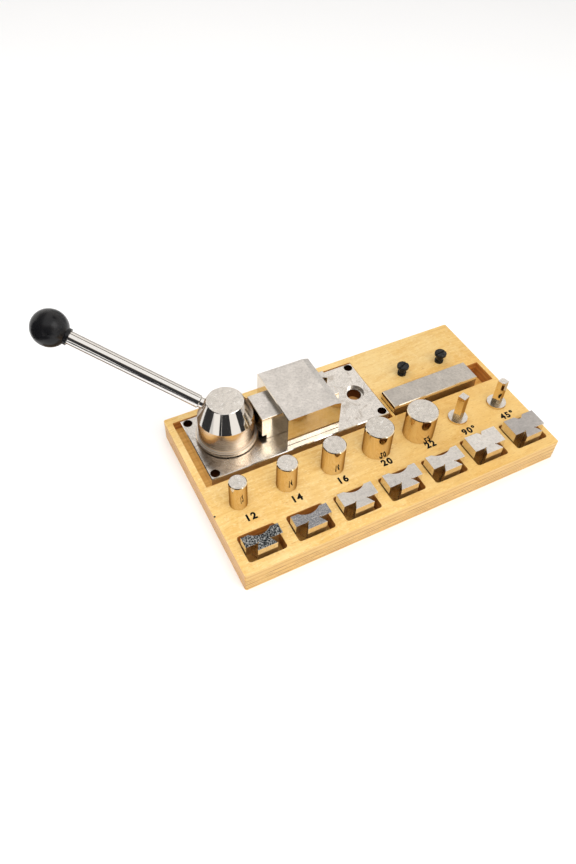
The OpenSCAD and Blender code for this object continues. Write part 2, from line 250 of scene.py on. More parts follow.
# What the plies are multiplied by on the two short sides.
END_SHADE = (0.93, 0.80, 0.64)
BURNT = (0.56, 0.205, 0.038)
BURNT_PALE = (0.62, 0.28, 0.062)
BURNT_PLY = (0.30, 0.10, 0.020)
# Painted shade on the walls of the cut-outs, strongest low down.
DEEP_WALL_SHADE = (0.32, 0.11, 0.025)
# Painted light on the walls of the cut-outs that face right or back.
BACK_WALL_LIGHT = (0.92, 0.64, 0.30)
FLOOR_PALE = (0.80, 0.475, 0.13)
FLOOR_DEEP = (0.62, 0.31, 0.065)
# Painted shade on the floors of the cut-outs under the base plate.
FLOOR_PLATE_SHADE = (0.43, 0.19, 0.055)
# A dark speck on the board.
SPECK_MM = (-121.4, -21.7, 17.0)
SPECK_RADIUS_MM = 0.75
SPECK = (0.02, 0.012, 0.01)


class Plywood(Look):
    """Varnished birch ply: rotary-cut face, plies on the sides, burnt cut-outs."""

    def __init__(self):
        super().__init__("birch_plywood")
        self.x, self.y, self.z = (self.axis(self.place, name) for name in "XYZ")
        self.top = board_high.z / MM
        self.wander = self.noise(0.012, 2, 0.5, (0.6, 1, 1))
        self.warped = self.vector("ADD", self.place, self.join(0, self.times(self.wander, 26), 0))
        self.grain = self.noise(0.42, 6, 0.66, (0.06, 1, 1), at=self.warped, warp=0.4)
        self.blotch = self.noise(0.022, 3, 0.55, (0.55, 1, 1))
        # Place among the plies: a light and a dark one follow each other, a little wavy.
        waved = self.calc("ADD", self.z, self.times(self.noise(0.02, 2, 0.5), 0.6))
        self.ply = self.calc("DIVIDE", waved, PLY_MM)
        self.layer = self.calc("PINGPONG", self.ply, 1.0)
        end_grain = self.noise(1.6, 4, 0.6, (1, 1, 0.25))
        self.dark_ply = self.mix(self.fit(end_grain, 0.3, 0.7, 0, 0.8), BIRCH_DEEP, PLY_RED)

    def face(self):
        """Veneer: long soft grain along X, with pale clouds, short pores and flecks."""
        flame = self.noise(0.075, 4, 0.6, (0.35, 1, 1), at=self.warped, warp=1.1)
        curl = self.noise(0.16, 4, 0.62, (1.3, 0.5, 1), warp=0.8)
        pores = self.noise(1.7, 3, 0.6, (0.12, 1, 1), at=self.warped)
        flecks = self.noise(0.9, 4, 0.7, (0.5, 1, 1))
        colour = self.mix(self.fit(self.grain, 0.36, 0.68, 0, 0.75), BIRCH, BIRCH_DEEP)
        colour = self.mix(self.fit(self.blotch, 0.40, 0.66, 0, 0.6), colour, BIRCH_PALE)
        colour = self.mix(self.fit(flame, 0.50, 0.66, 0, 0.45), colour, BIRCH_DEEP)
        colour = self.mix(self.fit(curl, 0.50, 0.70, 0, 0.32), colour, BIRCH_PALE)
        colour = self.mix(self.fit(pores, 0.57, 0.72, 0, 0.7), colour, PORE)
        colour = self.mix(self.fit(flecks, 0.52, 0.68, 0, 0.5), colour, FLECK)
        to_right = self.fit(self.calc("ADD", self.x, self.times(self.wander, 30)), -15, 65, 0, 1)
        golden = self.mix(self.fit(self.y, 20, 42, 0, 1), GOLDEN_FRONT, GOLDEN_BACK)
        colour = self.mix(to_right, colour, golden, "MULTIPLY")
        return self.mix(self.fit(self.cells(0.045), 0.035, 0.02, 0, 0.5), colour, DIRT)

    def glue_lines(self):
        """Share of glue on the sides: thin broken lines between plies, faint near the top."""
        line = self.calc("PINGPONG", self.ply, 0.5)
        broken = self.noise(0.07, 4, 0.7, (1, 1, 3))
        share = self.times(self.fit(line, 0.13, 0.05, 0, 1), self.fit(broken, 0.38, 0.54, 0, 1))
        return self.times(share, self.fit(self.z, self.top - 5.5, self.top - 4.5, 1, 0.15))

    def sides(self, glue):
        """The sides of the board: light and dark plies, streaked along their length."""
        run_grain = self.noise(1.2, 4, 0.6, (0.04, 0.04, 1.4))
        streak = self.noise(0.9, 4, 0.7, (0.03, 0.03, 2.2))
        light_ply = self.mix(self.fit(run_grain, 0.35, 0.7, 0, 0.7), BIRCH, BIRCH_DEEP)
        colour = self.mix(self.fit(self.layer, 0.42, 0.58, 0, 0.75), light_ply, self.dark_ply)
        colour = self.mix(self.fit(streak, 0.56, 0.66, 0, 0.4), colour, PLY_STREAK)
        colour = self.mix(glue, colour, GLUE)
        is_end = self.above(self.calc("ABSOLUTE", self.axis(self.normal, "X")), 0.7, 0.1)
        return self.mix(is_end, colour, END_SHADE, "MULTIPLY")

    def cut_walls(self):
        """Walls of the cut-outs, burnt by the cutter, with painted shade that is darkest low down.

        Those that face right or back are painted paler, as painted light, because the steel beside
        them reflects them and would look too dark.
        """
        scorch = self.noise(0.16, 4, 0.6, (1, 1, 2.5))
        colour = self.mix(self.fit(scorch, 0.3, 0.7, 0, 1), BURNT, BURNT_PALE)
        colour = self.mix(self.fit(self.layer, 0.3, 0.7, 0, 0.5), colour, BURNT_PLY)
        # Painted shade: the walls darken towards the floor of each cut-out.
        colour = self.mix(self.fit(self.z, self.top - 12, self.top, 0.6, 0), colour, DEEP_WALL_SHADE)
        facing = self.calc("MAXIMUM", self.axis(self.normal, "X"), self.axis(self.normal, "Y"))
        # Painted light: walls that face right or back are made paler.
        pale = self.mix(0.25, BACK_WALL_LIGHT, self.dark_ply)
        return self.mix(self.above(facing, 0.6, 0.1), colour, pale)

    def floors(self):
        """Floors of the cut-outs, with painted shade where the base plate covers them."""
        colour = self.mix(self.fit(self.grain, 0.3, 0.7, 0, 1), FLOOR_PALE, FLOOR_DEEP)
        plate_shade = 0.85
        for place, low, high in (
            (self.x, plate_low.x / MM, plate_high.x / MM),
            (self.y, plate_low.y / MM, plate_high.y / MM),
        ):
            plate_shade = self.times(plate_shade, self.above(place, low + 1, 1.5))
            plate_shade = self.times(plate_shade, self.below(place, high - 1, 1.5))
        return self.mix(plate_shade, colour, FLOOR_PLATE_SHADE)


def birch_plywood():
    look = Plywood()
    glue = look.glue_lines()
    face = look.face()
    upright = look.axis(look.normal, "Z")
    is_level = look.above(upright, 0.6, 0.15)
    is_face = look.times(is_level, look.above(look.z, look.top - 0.6, 0.2))
    is_under = look.above(look.times(upright, -1), 0.6, 0.15)
    is_side = look.calc(
        "MAXIMUM",
        look.above(look.calc("ABSOLUTE", look.x), board_high.x / MM - 1.2, 0.1),
        look.above(look.calc("ABSOLUTE", look.y), board_high.y / MM - 1.2, 0.1),
    )
    colour = look.mix(is_side, look.cut_walls(), look.sides(glue))
    colour = look.mix(is_level, colour, look.floors())
    colour = look.mix(is_face, colour, face)
    colour = look.mix(is_under, colour, face)
    from_speck = look.vector("LENGTH", look.vector("SUBTRACT", look.place, SPECK_MM))
    colour = look.mix(look.below(from_speck, SPECK_RADIUS_MM, 0.2), colour, SPECK)
    look.set(Base_Color=colour, Specular_IOR_Level=0.4, Coat_Weight=0.25, Coat_Roughness=0.22)
    look.set(Roughness=look.fit(look.blotch, 0.3, 0.7, 0.42, 0.55))
    look.bump(look.grain, 0.05, 0.5)
    look.bump(look.times(glue, -1), 0.12, look.times(is_side, 0.8))
    return look


# --------------------------------------------------------------------- metals

WARM_STEEL = (0.79, 0.76, 0.73)
PLATE_STEEL = (0.795, 0.765, 0.73)
BLOCK_STEEL = (0.60, 0.565, 0.525)
DIE_STEEL = (0.85, 0.82, 0.785)
DULL_STEEL = (0.50, 0.48, 0.47)
PIN_STEEL = (0.55, 0.55, 0.56)
# Polished sides, tinted warmer than the ground tops: a painted reflection of the wood beside them.
HOUSING_SIDE_REFLECTION = (0.72, 0.64, 0.53)
RAM_SIDE_REFLECTION = (0.80, 0.69, 0.53)
BLOCK_SIDE_REFLECTION = (0.70, 0.60, 0.45)
DIE_SIDE_REFLECTION = (0.80, 0.74, 0.65)
DIE_SIDE_REFLECTION_DARK = (0.55, 0.49, 0.42)
# The former and hub sides are tinted golden too, a painted reflection of the wood.
FORMER_TOP, FORMER_SIDE_REFLECTION = (0.725, 0.695, 0.655), (0.80, 0.665, 0.46)
HUB_TOP, HUB_SIDE_REFLECTION = (0.745, 0.715, 0.675), (0.84, 0.69, 0.53)
NICK = (0.93, 0.92, 0.90)
# Painted highlight on the hub's low steps, which are also matt.
FLANGE_HIGHLIGHT = (0.92, 0.89, 0.85)
# Coarse tops of the two smallest dies: the light and the dark grains.
SCALE_12 = (0.50, 0.52, 0.52), (0.012, 0.018, 0.024)
SCALE_14 = (0.60, 0.59, 0.60), (0.20, 0.21, 0.23)
# Colour of turned steel and of chrome where they are seen edge on: a painted shade, brown.
EDGE_SHADE_TINT = (0.30, 0.20, 0.12)
CHROME_EDGE_SHADE = (0.45, 0.37, 0.30)
NO_TINT = (1.0, 1.0, 1.0)
CHROME, CHROME_WORN, CHROME_PIT = (0.80, 0.785, 0.765), (0.60, 0.555, 0.50), (0.22, 0.15, 0.10)
STAIN = (0.30, 0.24, 0.18)
# Painted shade on the walls of the holes in the base plate.
HOLE_WALL_SHADE = (0.16, 0.085, 0.05)
BRASS = (0.72, 0.50, 0.20)
BRONZE = (0.55, 0.33, 0.16)


def round_axis(look, axis):
    """Direction round an upright axis at every place."""
    from_axis = look.vector("SUBTRACT", look.place, (axis.x / MM, axis.y / MM, 0))
    return look.vector("NORMALIZE", look.vector("CROSS_PRODUCT", (0, 0, 1), from_axis))


def radius_round(look, axis):
    """Distance from an upright axis at every place."""
    flat = look.vector("MULTIPLY", look.place, (1, 1, 0))
    return look.vector("LENGTH", look.vector("SUBTRACT", flat, (axis.x / MM, axis.y / MM, 0)))


def brushed(look, along, amount):
    """Stretches the reflections across the direction of the brushing."""
    look.set(Anisotropic=amount)
    look.plug(look.shader.inputs["Tangent"], along)


def bored(look, holes, radius_mm):
    """Darkens the walls of upright holes with painted shade."""
    shade = None
    for hole in holes:
        wall = look.below(radius_round(look, hole), radius_mm, 0.15)
        shade = wall if shade is None else look.calc("MAXIMUM", shade, wall)
    level = look.calc("ABSOLUTE", look.axis(look.normal, "Z"))
    shade = look.times(shade, look.below(level, 0.6, 0.1))
    base = look.shader.inputs["Base Color"]
    rough = look.shader.inputs["Roughness"]
    # Painted shade: the hole walls take a dark brown.
    look.set(Base_Color=look.mix(shade, base.links[0].from_socket, HOLE_WALL_SHADE))
    look.set(Roughness=look.between(shade, rough.links[0].from_socket, 0.42))


def steel(name, tint, top_rough, side_rough, mottle=0.12, scratches=0.5, stain=0.0, grind=25, side=None):
    """Machined steel: a satin top, ground in the direction grind, and polished sides."""
    look = Look(name)
    # A given side tint is a painted reflection of the wood beside the part.
    side_tint = side or scaled(tint, 1.06)
    dark, pale = scaled(tint, 0.66), scaled(tint, 1.16)
    is_top = look.above(look.calc("ABSOLUTE", look.axis(look.normal, "Z")), 0.8, 0.1)
    is_side = look.calc("SUBTRACT", 1.0, is_top)
    fine = look.noise(0.62, 6, 0.72)
    cloud = look.noise(0.10, 4, 0.6)
    hair = look.noise(1.5, 4, 0.7, (0.07, 1.0, 1), at=look.turned(grind))
    cross = look.noise(1.1, 4, 0.7, (1.0, 0.08, 1), at=look.turned(grind + 35))
    smear = look.noise(0.32, 4, 0.65, (0.35, 1.3, 1), at=look.turned(grind + 12), warp=0.5)
    up_lines = look.noise(1.8, 3, 0.6, (1, 1, 0.04))

    top = look.mix(look.fit(cloud, 0.34, 0.66, 0, 0.45), tint, scaled(tint, 0.86))
    top = look.mix(look.fit(fine, 0.36, 0.70, 0, mottle * 6), top, dark)
    top = look.mix(look.fit(hair, 0.56, 0.70, 0, scratches), top, pale)
    top = look.mix(look.fit(cross, 0.58, 0.72, 0, scratches * 0.8), top, dark)
    top = look.mix(look.fit(smear, 0.56, 0.70, 0, 0.5), top, pale)
    if stain:
        blots = look.noise(0.09, 5, 0.7, warp=1.2)
        top = look.mix(look.fit(blots, 0.52, 0.66, 0, stain), top, STAIN)
    sides = look.mix(look.fit(up_lines, 0.4, 0.7, 0, 0.3), side_tint, scaled(side_tint, 0.7))
    look.set(Metallic=1.0, Base_Color=look.mix(is_top, sides, top))

    top_level = look.between(look.fit(cloud, 0.3, 0.7, 0, 1), top_rough * 0.8, top_rough * 1.15)
    top_level = look.between(look.fit(hair, 0.55, 0.7, 0, 0.5), top_level, top_rough * 0.5)
    side_level = look.between(look.fit(cloud, 0.35, 0.7, 0, 1), side_rough * 0.7, side_rough * 1.4)
    look.set(Roughness=look.between(is_top, side_level, top_level))
    look.bump(fine, 0.02, look.times(is_top, 0.45))
    look.bump(hair, 0.015, look.times(is_top, scratches))
    look.bump(up_lines, 0.004, look.times(is_side, 0.4))
    return look


def granular_steel(name, light, dark, coarse, share):
    """Steel whose top is coarse and dark, as sawn or etched, with polished sides."""
    look = Look(name)
    is_top = look.above(look.axis(look.normal, "Z"), 0.8, 0.1)
    grains = look.cells(coarse * 1.2)
    crumbs = look.noise(coarse * 1.3, 5, 0.75)
    up_lines = look.noise(1.8, 3, 0.6, (1, 1, 0.04))
    pattern = look.calc("ADD", look.times(grains, 0.5), look.times(crumbs, 0.8))
    top = look.mix(look.fit(pattern, 0.55, 0.90, share, 0), light, dark)
    sides = look.mix(look.fit(up_lines, 0.4, 0.7, 0, 0.3), DIE_SIDE_REFLECTION, DIE_SIDE_REFLECTION_DARK)
    look.set(Metallic=1.0, Base_Color=look.mix(is_top, sides, top))
    look.set(Roughness=look.between(is_top, 0.13, look.fit(pattern, 0.4, 0.9, 0.55, 0.25)))
    look.bump(pattern, 0.12, look.times(is_top, 0.8))
    return look


def turned_steel(name, tint, side_tint, axis, top_rough, ring_share=0.35, matt_below=None):
    """Lathe-turned steel: rings on the end face, polished sides with hairlines round them.

    Up to the height matt_below the sides are brushed round the axis and take side_tint, and the steps
    are matt and painted pale, a painted highlight; above it the sides have the tint of the end face.
    """
    side_rough = 0.06
    look = Look(name)
    dark = scaled(tint, 0.66)
    z = look.axis(look.place, "Z")
    is_top = look.above(look.axis(look.normal, "Z"), 0.9, 0.05)
    rings = look.noise(5.0, 4, 0.7, at=look.join(radius_round(look, axis), 0.0, 0.0))
    lines = look.noise(4.0, 4, 0.7, at=look.join(0.0, 0.0, z))
    mottle = look.noise(0.45, 5, 0.7)
    nick = look.noise(0.30, 4, 0.65, warp=1.5)

    top = look.mix(look.fit(rings, 0.4, 0.7, 0, ring_share), tint, dark)
    top = look.mix(look.fit(mottle, 0.45, 0.66, 0, 0.42), top, dark)
    top = look.mix(look.fit(nick, 0.56, 0.66, 0, 0.75), top, NICK)
    top_level = look.between(look.fit(mottle, 0.35, 0.7, 0, 1), top_rough * 0.75, top_rough * 1.2)
    side_level = look.between(look.fit(lines, 0.4, 0.7, 0, 1), side_rough * 0.8, side_rough * 1.5)
    if matt_below is not None:
        is_low = look.below(z, matt_below / MM, 0.1)
        side_tint = look.mix(is_low, tint, side_tint)
        # Painted highlight: the low steps are made pale.
        top = look.mix(is_low, top, FLANGE_HIGHLIGHT)
        top_level = look.between(is_low, top_level, 0.5)
        matt = look.times(is_low, look.below(is_top, 0.5, 0.1))
        side_level = look.between(matt, side_level, look.fit(lines, 0.35, 0.7, 0.20, 0.32))
        brushed(look, round_axis(look, axis), look.times(matt, 0.85))
    sides = look.mix(look.fit(lines, 0.45, 0.75, 0, 0.18), side_tint, dark)

    look.set(Metallic=1.0, Base_Color=look.mix(is_top, sides, top))
    # Painted shade: the sides darken to brown where seen edge on.
    look.set(Specular_Tint=look.mix(is_top, EDGE_SHADE_TINT, NO_TINT))
    look.set(Roughness=look.between(is_top, side_level, top_level))
    look.bump(rings, 0.012, look.times(is_top, 0.6))
    look.bump(mottle, 0.02, look.times(is_top, 0.25))
    look.bump(lines, 0.0012, look.times(look.calc("SUBTRACT", 1.0, is_top), 0.3))
    return look


def chrome_rod():
    """Bright chrome with faint rubbing marks and small pits."""
    look = Look("chromed_rod")
    wear = look.noise(0.5, 5, 0.7, warp=0.6)
    tint = look.mix(look.fit(wear, 0.5, 0.72, 0, 0.35), CHROME, CHROME_WORN)
    tint = look.mix(look.fit(look.cells(0.9), 0.10, 0.04, 0, 0.6), tint, CHROME_PIT)
    # Painted shade: the chrome darkens to brown where seen edge on.
    look.set(Metallic=1.0, Base_Color=tint, Specular_Tint=CHROME_EDGE_SHADE)
    look.set(Roughness=look.fit(wear, 0.40, 0.78, 0.03, 0.12))
    look.bump(look.noise(0.25, 3, 0.5), 0.05, 0.06)
    return look


def copper_alloy(name, tint):
    """Machined bronze or brass with turning lines and a dull bloom."""
    look = Look(name)
    bloom = look.noise(0.35, 4, 0.6)
    lines = look.noise(4.0, 3, 0.6, (0.1, 0.1, 1))
    look.set(Metallic=1.0, Base_Color=look.mix(look.fit(bloom, 0.35, 0.7, 0, 0.6), tint, scaled(tint, 0.6)))
    look.set(Roughness=look.fit(bloom, 0.3, 0.7, 0.22, 0.4))
    look.bump(lines, 0.006, 0.5)
    return look


# ---------------------------------------------------------- black and painted

BALL_BLACK, BALL_DUSTY = (0.006, 0.006, 0.007), (0.020, 0.019, 0.020)
OXIDE_BLACK, OXIDE_RUBBED = (0.010, 0.010, 0.010), (0.050, 0.047, 0.044)
INK_BLACK, INK_THIN = (0.004, 0.004, 0.004), (0.14, 0.08, 0.03)


def black_ball():
    """Moulded black plastic with a soft shine, handled smooth."""
    look = Look("black_plastic")
    rub = look.noise(0.18, 4, 0.6)
    dust = look.noise(3.5, 3, 0.7)
    look.set(Base_Color=look.mix(look.fit(dust, 0.55, 0.8, 0, 0.5), BALL_BLACK, BALL_DUSTY))
    look.set(Roughness=look.fit(rub, 0.3, 0.7, 0.20, 0.30), Specular_IOR_Level=0.28)
    look.bump(look.noise(1.6, 4, 0.6), 0.02, 0.25)
    return look


def black_oxide():
    """Oil-blacked steel, rubbed a little lighter where it is handled."""
    look = Look("blackened_steel")
    rub = look.noise(0.9, 5, 0.65)
    look.set(Base_Color=look.mix(look.fit(rub, 0.45, 0.75, 0, 1), OXIDE_BLACK, OXIDE_RUBBED))
    look.set(Metallic=0.15, Roughness=look.fit(rub, 0.3, 0.7, 0.25, 0.40), Specular_IOR_Level=0.22)
    look.bump(look.noise(4.0, 3, 0.6), 0.015, 0.4)
    return look


def printing_ink():
    """Stamped black ink, thin in places."""
    look = Look("printing_ink")
    thin = look.noise(1.4, 4, 0.7)
    look.set(Base_Color=look.mix(look.fit(thin, 0.62, 0.80, 0, 0.4), INK_BLACK, INK_THIN))
    look.set(Roughness=look.fit(thin, 0.3, 0.7, 0.45, 0.6), Specular_IOR_Level=0.12)
    look.bump(thin, 0.01, 0.3)
    return look


# ---------------------------------------------------------- dressing the frame

DIE_EDGE_MM = 0.28
PRESS_EDGE_MM = 0.12
# Corners of the CAD meshes that lie closer than this are one.
WELD_MM = 0.0005
SHARP_ANGLE = 32


def dress(names, look):
    """Gives CAD nodes a material."""
    for name in names:
        slots = nodes[name].data.materials
        slots.clear()
        slots.append(look.material)


def break_edges(names, width_mm):
    """Rounds the sharp edges of CAD nodes slightly, so that they catch the light."""
    for name in names:
        weld = nodes[name].modifiers.new("weld", "WELD")
        weld.merge_threshold = WELD_MM * MM
        bevel = nodes[name].modifiers.new("broken_edges", "BEVEL")
        bevel.width = width_mm * MM
        bevel.segments = 2
        bevel.limit_method = "ANGLE"
        bevel.angle_limit = math.radians(SHARP_ANGLE)
        bevel.harden_normals = True


def plate_steel():
    """The base plate: bright, ground along X and stained, with painted shade in its holes."""
    look = steel("plated_plate", PLATE_STEEL, 0.25, 0.12, 0.09, 0.7, stain=0.4, grind=80)
    brushed(look, (1.0, 0.0, 0.0), 0.6)
    x, y = CORNER_HOLE_MM
    corners = [plate_mid + Vector((sx * x, sy * y, 0)) * MM for sx in (-1, 1) for sy in (-1, 1)]
    bored(look, corners, CORNER_HOLE_RADIUS_MM)
    bored(look, [plate_mid + Vector((SOCKET_X_MM, 0, 0)) * MM], SOCKET_RADIUS_MM)
    return look


break_edges(["die_" + size for size in SIZES], DIE_EDGE_MM)
break_edges(["guide_housing", "ram"], PRESS_EDGE_MM)

dress(["base_plate"], plate_steel())
dress(["wooden_board"], birch_plywood())
dress(["guide_housing"], steel("housing_steel", WARM_STEEL, 0.36, 0.09, side=HOUSING_SIDE_REFLECTION))
dress(["ram"], steel("ram_steel", WARM_STEEL, 0.32, 0.13, side=RAM_SIDE_REFLECTION))
dress(["steel_block"], steel("block_steel", BLOCK_STEEL, 0.36, 0.08, 0.12, 0.7, grind=55, side=BLOCK_SIDE_REFLECTION))
dress(["die_12"], granular_steel("scaled_steel_dark", *SCALE_12, coarse=1.0, share=1.0))
dress(["die_14"], granular_steel("scaled_steel_grey", *SCALE_14, coarse=1.3, share=0.9))
dress(
    ["die_16", "die_20", "die_22", "die_90_deg"],
    steel("die_steel", DIE_STEEL, 0.34, 0.14, 0.11, 0.5, grind=15, side=DIE_SIDE_REFLECTION),
)
dress(["die_45_deg"], steel("die_steel_dull", DULL_STEEL, 0.36, 0.14, 0.10, 0.4, grind=15, side=DIE_SIDE_REFLECTION))
for size in SIZES:
    low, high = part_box("former_" + size)
    axis = (low + high) / 2
    dress(["former_" + size], turned_steel("former_steel_" + size, FORMER_TOP, FORMER_SIDE_REFLECTION, axis, 0.30))
dress(["eccentric_hub"], turned_steel("hub_steel", HUB_TOP, HUB_SIDE_REFLECTION, hub_axis, 0.28, 0.2, hub_cone_z))
dress(["lever_rod"], chrome_rod())
dress(["ball_knob"], black_ball())
dress(["knob_insert"], copper_alloy("brass_insert", BRASS))
dress(["pivot_bush", "thrust_washer"], copper_alloy("bronze", BRONZE))
dress(["housing_screws", "retaining_screw", "left_shoulder_screw", "right_shoulder_screw"], black_oxide())
pin_look = steel("spring_steel", PIN_STEEL, 0.3, 0.2)
dress(["dowel_pins", "spring_pin", "retaining_washer", "return_spring"], pin_look)


# --------------------------------------------------------------------- spring

SPRING_TURNS = 8
WIRE_RADIUS = 0.4 * MM
# How far the end turns are drawn together, as a share of the spring's length.
END_CLOSING = 0.055


def coil_mesh(low, high):
    """A round wire wound along X between two corners, with its ends closed."""
    steps, sides = 48, 12
    middle = (low + high) / 2
    radius = (high.y - low.y) / 2 - WIRE_RADIUS
    start, run = low.x + WIRE_RADIUS, high.x - low.x - 2 * WIRE_RADIUS
    count = SPRING_TURNS * steps + 1
    points, faces = [], []
    for i in range(count):
        share = i / (steps * SPRING_TURNS)
        along = start + run * (share - END_CLOSING * math.sin(2 * math.pi * share))
        angle = 2 * math.pi * i / steps
        out = Vector((0, math.cos(angle), math.sin(angle)))
        centre = Vector((along, middle.y, middle.z)) + out * radius
        for j in range(sides):
            b = 2 * math.pi * j / sides
            points.append(centre + (out * math.cos(b) + Vector((math.sin(b), 0, 0))) * WIRE_RADIUS)
    for i in range(count - 1):
        for j in range(sides):
            k = (j + 1) % sides
            faces.append((i * sides + j, i * sides + k, (i + 1) * sides + k, (i + 1) * sides + j))
    faces.append(tuple(range(sides - 1, -1, -1)))
    faces.append(tuple((count - 1) * sides + j for j in range(sides)))
    mesh = bpy.data.meshes.new("spring_coil")
    mesh.from_pydata(points, [], faces)
    mesh.shade_smooth()
    return mesh


def coil_spring():
    """The return spring as a drawn-wire coil, attached to the press."""
    low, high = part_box("return_spring")
    mesh = coil_mesh(low, high)
    mesh.materials.append(pin_look.material)
    coil = place_object("spring_coil", mesh)
    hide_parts("return_spring")
    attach(coil, "press")
    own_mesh(coil)


coil_spring()


# -------------------------------------------------------------- printed sizes

CAP_HEIGHT = 4.9 * MM
# Share of the typeface's size that its capitals take up.
CAP_SHARE = 0.70
LETTER_SPACING = 1.22
# The strokes are thickened by an offset, which breaks them if it is larger, and a bevel.
STROKE_OFFSET = 0.10 * MM
STROKE_BEVEL = 0.26 * MM
STROKE_DEPTH = 0.01 * MM
UPPER_LAYER = 0.05 * MM
INK_HEIGHT = 0.03 * MM
PRINT_GAP = 13.5 * MM
# How far each print sits from the axis of its former, as it was stamped by hand.
PRINT_SHIFTS_MM = {"12": 2.6, "14": 0.9, "16": 0.6, "20": 0.6, "22": 1.7, "90_deg": 0.7, "45_deg": 0.0}


def text_mesh(name, words):
    """Words as a mesh with thick strokes, centred on the origin."""
    text = bpy.data.curves.new(name, "FONT")
    text.body = words
    text.align_x = "CENTER"
    text.align_y = "CENTER"
    text.size = CAP_HEIGHT / CAP_SHARE
    text.space_character = LETTER_SPACING
    text.offset = STROKE_OFFSET
    text.bevel_depth = STROKE_BEVEL
    text.bevel_resolution = 0
    text.extrude = STROKE_DEPTH
    typed = place_object("typed_" + name, text)
    bpy.context.view_layer.update()
    mesh = bpy.data.meshes.new_from_object(typed.evaluated_get(bpy.context.evaluated_depsgraph_get()))
    bpy.data.objects.remove(typed)
    return mesh


def print_size(size, shift_mm, ink):
    """Prints a size on the board in front of its former, as flat raised ink."""
    low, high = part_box("former_" + size)
    mesh = text_mesh("size_" + size, size.replace("_deg", "°"))
    # The upper layer of the bevelled text becomes the top of the ink, and the rest its foot.
    for vertex in mesh.vertices:
        vertex.co.z = INK_HEIGHT if vertex.co.z > UPPER_LAYER else 0.0
    mesh.materials.clear()
    mesh.materials.append(ink)
    printed = place_object("printed_" + size, mesh)
    middle = (low + high) / 2
    printed.location = (middle.x + shift_mm * MM, middle.y - PRINT_GAP, board_high.z)
    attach(printed, "board")


ink_look = printing_ink()
for size in SIZES:
    print_size(size, PRINT_SHIFTS_MM[size], ink_look.material)


# ------------------------------------------------- camera, floor and light panels

CAMERA_PLACE = Vector((-0.2033, -0.2637, 0.3956))
CAMERA_ANGLES = (40.65, -1.53, -26.97)
CAMERA_LENS_MM = 29.46
FLOOR_SIDE = 12.0
FLOOR_WHITE = (0.93, 0.925, 0.92)
CARD_BLACK = (0.03, 0.03, 0.032)
CARD_GREY = (0.50, 0.50, 0.49)
CARD_BROWN = (0.24, 0.17, 0.11)


def make_camera():
    """The camera at the photograph's angle."""
    data = bpy.data.cameras.new("camera")
    data.lens = CAMERA_LENS_MM
    data.sensor_width = 36
    data.clip_start = 0.01
    data.clip_end = 50
    camera = place_object("camera", data)
    camera.location = CAMERA_PLACE
    camera.rotation_euler = [math.radians(a) for a in CAMERA_ANGLES]
    bpy.context.scene.camera = camera


def make_panel(name, place, side, strength):
    """A square soft light panel turned towards the board."""
    data = bpy.data.lights.new(name, "AREA")
    data.shape = "RECTANGLE"
    data.size = data.size_y = side
    data.energy = strength
    panel = place_object(name, data)
    panel.location = place
    panel.rotation_euler = (-Vector(place)).to_track_quat("-Z", "Y").to_euler()
    return panel


def plain_look(name, colour, roughness):
    """A matt studio surface, faintly uneven."""
    look = Look(name)
    soft = look.noise(0.004, 3, 0.5)
    look.set(Base_Color=look.mix(look.fit(soft, 0.3, 0.7, 0, 0.3), colour, scaled(colour, 0.98)))
    look.set(Roughness=roughness, Specular_IOR_Level=0.2)
    return look


def flat_sheet(name, corners, look):
    mesh = bpy.data.meshes.new(name)
    mesh.from_pydata(corners, [], [(0, 1, 2, 3)])
    mesh.materials.append(look.material)
    return place_object(name, mesh)


def make_floor():
    half = FLOOR_SIDE / 2
    corners = [(-half, -half, 0), (half, -half, 0), (half, half, 0), (-half, half, 0)]
    flat_sheet("floor", corners, plain_look("floor_white", FLOOR_WHITE, 0.6))


make_camera()
make_floor()
make_panel("key_panel", (-0.5, 0.5, 1.5), 1.2, 6).visible_glossy = False
make_panel("fill_panel", (0.7, -0.9, 1.2), 0.9, 5)
make_panel("top_panel", (-0.25, -0.6, 1.4), 1.3, 13).visible_glossy = False


# ------------------------------------------------------------------------ sky

# The plain light that matt surfaces get from all round.
SKY_SOFT = (0.66, 0.655, 0.65)
# What polished metal sees: walls, and a ceiling that differs in front, behind and to the sides.
SKY_WALL = (1.15, 1.12, 1.08)
SKY_FRONT, SKY_FRONT_LEFT = (0.94, 0.90, 0.85), (0.38, 0.30, 0.22)
SKY_OVERHEAD = (1.10, 1.08, 1.06)
SKY_BEHIND = (1.22, 1.17, 1.11)
SKY_CLOUD = (0.70, 0.64, 0.58)
SKY_RIGHT = (0.78, 0.70, 0.60)
SKY_BACK_LEFT = (0.13, 0.115, 0.10)


class Sky(Look):
    """The room round the object; its place is the direction in which a ray leaves."""

    def __init__(self):
        world = bpy.data.worlds.new("studio")
        bpy.context.scene.world = world
        world.use_nodes = True
        self.nodes = world.node_tree.nodes
        self.links = world.node_tree.links
        self.background = self.nodes["Background"]
        self.place = self.nodes.new("ShaderNodeTexCoord").outputs["Generated"]
        self.height = self.axis(self.place, "Z")

    def towards(self, x, y):
        """How far a ray leaves in a level direction."""
        return self.vector("DOT_PRODUCT", self.place, (x, y, 0))


